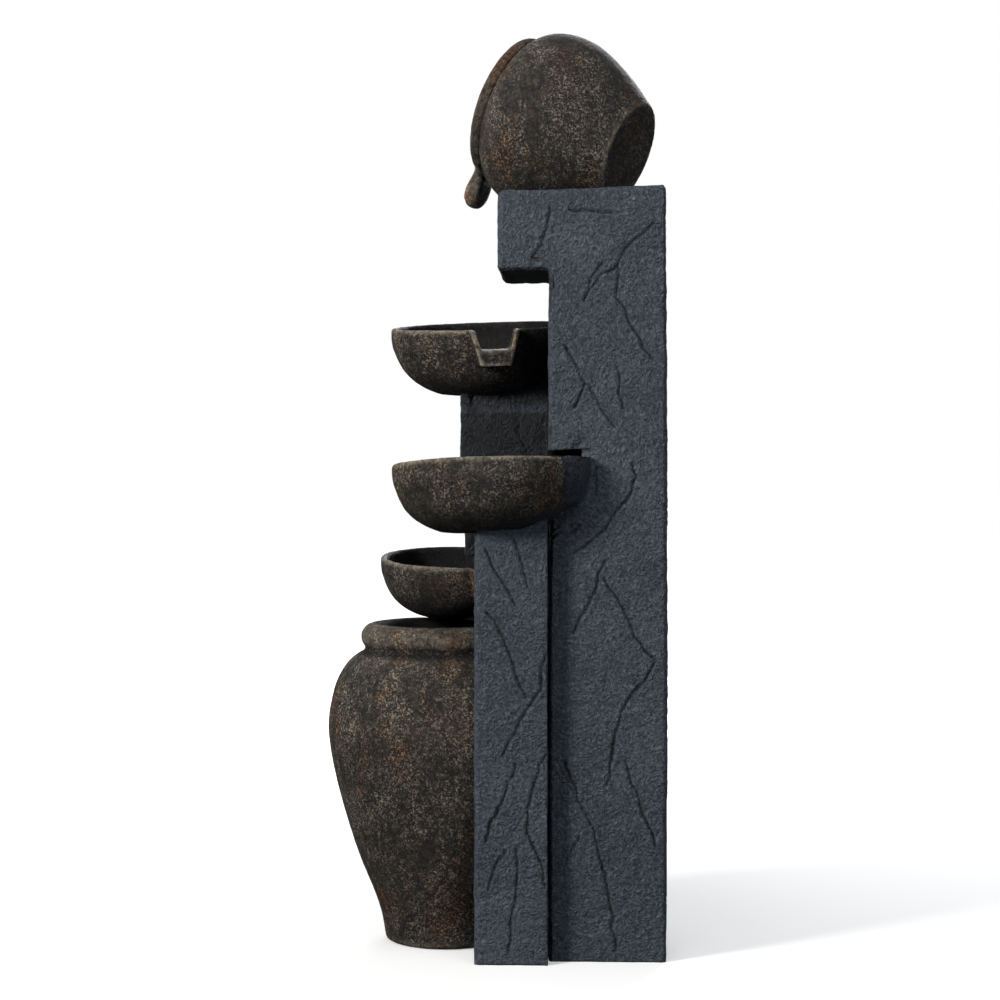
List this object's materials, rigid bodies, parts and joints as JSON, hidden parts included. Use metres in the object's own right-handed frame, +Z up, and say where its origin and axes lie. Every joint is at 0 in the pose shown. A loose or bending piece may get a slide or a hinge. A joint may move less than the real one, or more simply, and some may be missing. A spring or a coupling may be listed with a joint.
{
  "type": "cascading water fountain",
  "caption": "Stepped slate-look column fountain: a tipped jug pours through staggered spouted bowls into an urn that hides the pump and riser hose.",
  "frame": {"origin": "on the ground at the middle of the overall box", "axes": "+Z up, -Y towards the front where the urn stands, +X towards the side of the shorter pillar"},
  "size_m": [0.3739, 0.3735, 1.001],
  "materials": {
    "slate": "cast polyresin, slate grain, matt",
    "pot": "cast polyresin, dark bronze paint dry-brushed with copper, matt",
    "pump_plastic": "moulded",
    "magnet": "moulded over a ferrite magnet",
    "shaft_steel": "ground",
    "white_plastic": "moulded",
    "rubber": "moulded",
    "hose": "extruded soft vinyl",
    "stainless": "machined",
    "door_plastic": "moulded, matt",
    "spacer_plastic": "extruded"
  },
  "bodies": {
    "fountain": {"tower_shell": "slate", "right_pillar": "slate", "left_pillar": "slate", "upper_bowl": "pot", "middle_bowl": "pot", "lower_bowl": "pot", "urn": "pot", "jug": "pot", "jug_lip": "pot", "pump_body": "pump_plastic", "pump_cover": "pump_plastic", "rotor_shaft": "shaft_steel", "jug_inlet": "white_plastic", "jug_nut": "white_plastic", "hose_clips": "white_plastic", "jug_gasket": "rubber", "urn_hose_grommet": "rubber", "suction_cups": "rubber", "cord_grommet": "rubber", "riser_hose": "hose", "hose_clamps": "stainless", "bowl_bolts": "stainless", "bowl_washers": "stainless", "bowl_nuts": "stainless", "lower_bowl_bolt": "stainless", "pillar_bolts": "stainless", "wall_nuts": "stainless", "lower_bowl_spacer": "spacer_plastic"},
    "rotor": {"pump_rotor": "magnet"},
    "strainer": {"pump_strainer": "pump_plastic"},
    "dial": {"flow_dial": "pump_plastic"},
    "door": {"service_door": "door_plastic", "door_seal": "rubber"},
    "plug": {"drain_plug": "rubber"}
  },
  "joints": [
    {"name": "rotor_spin", "type": "hinge", "parent": "fountain", "child": "rotor", "pos_m": [-0.009, -0.044, 0.041], "axis": [0, 1, 0], "continuous": true},
    {"name": "strainer_pull", "type": "slide", "parent": "fountain", "child": "strainer", "axis": [0, -1, 0], "range_m": [0, 0.015]},
    {"name": "dial_turn", "type": "hinge", "parent": "strainer", "child": "dial", "pos_m": [-0.009, -0.089, 0.041], "axis": [0, -1, 0], "range_deg": [0, 45]},
    {"name": "door_pull", "type": "slide", "parent": "fountain", "child": "door", "axis": [0, 1, 0], "range_m": [0, 0.06]},
    {"name": "plug_pull", "type": "slide", "parent": "fountain", "child": "plug", "axis": [0, 0, 1], "range_m": [0, 0.02]}
  ]
}
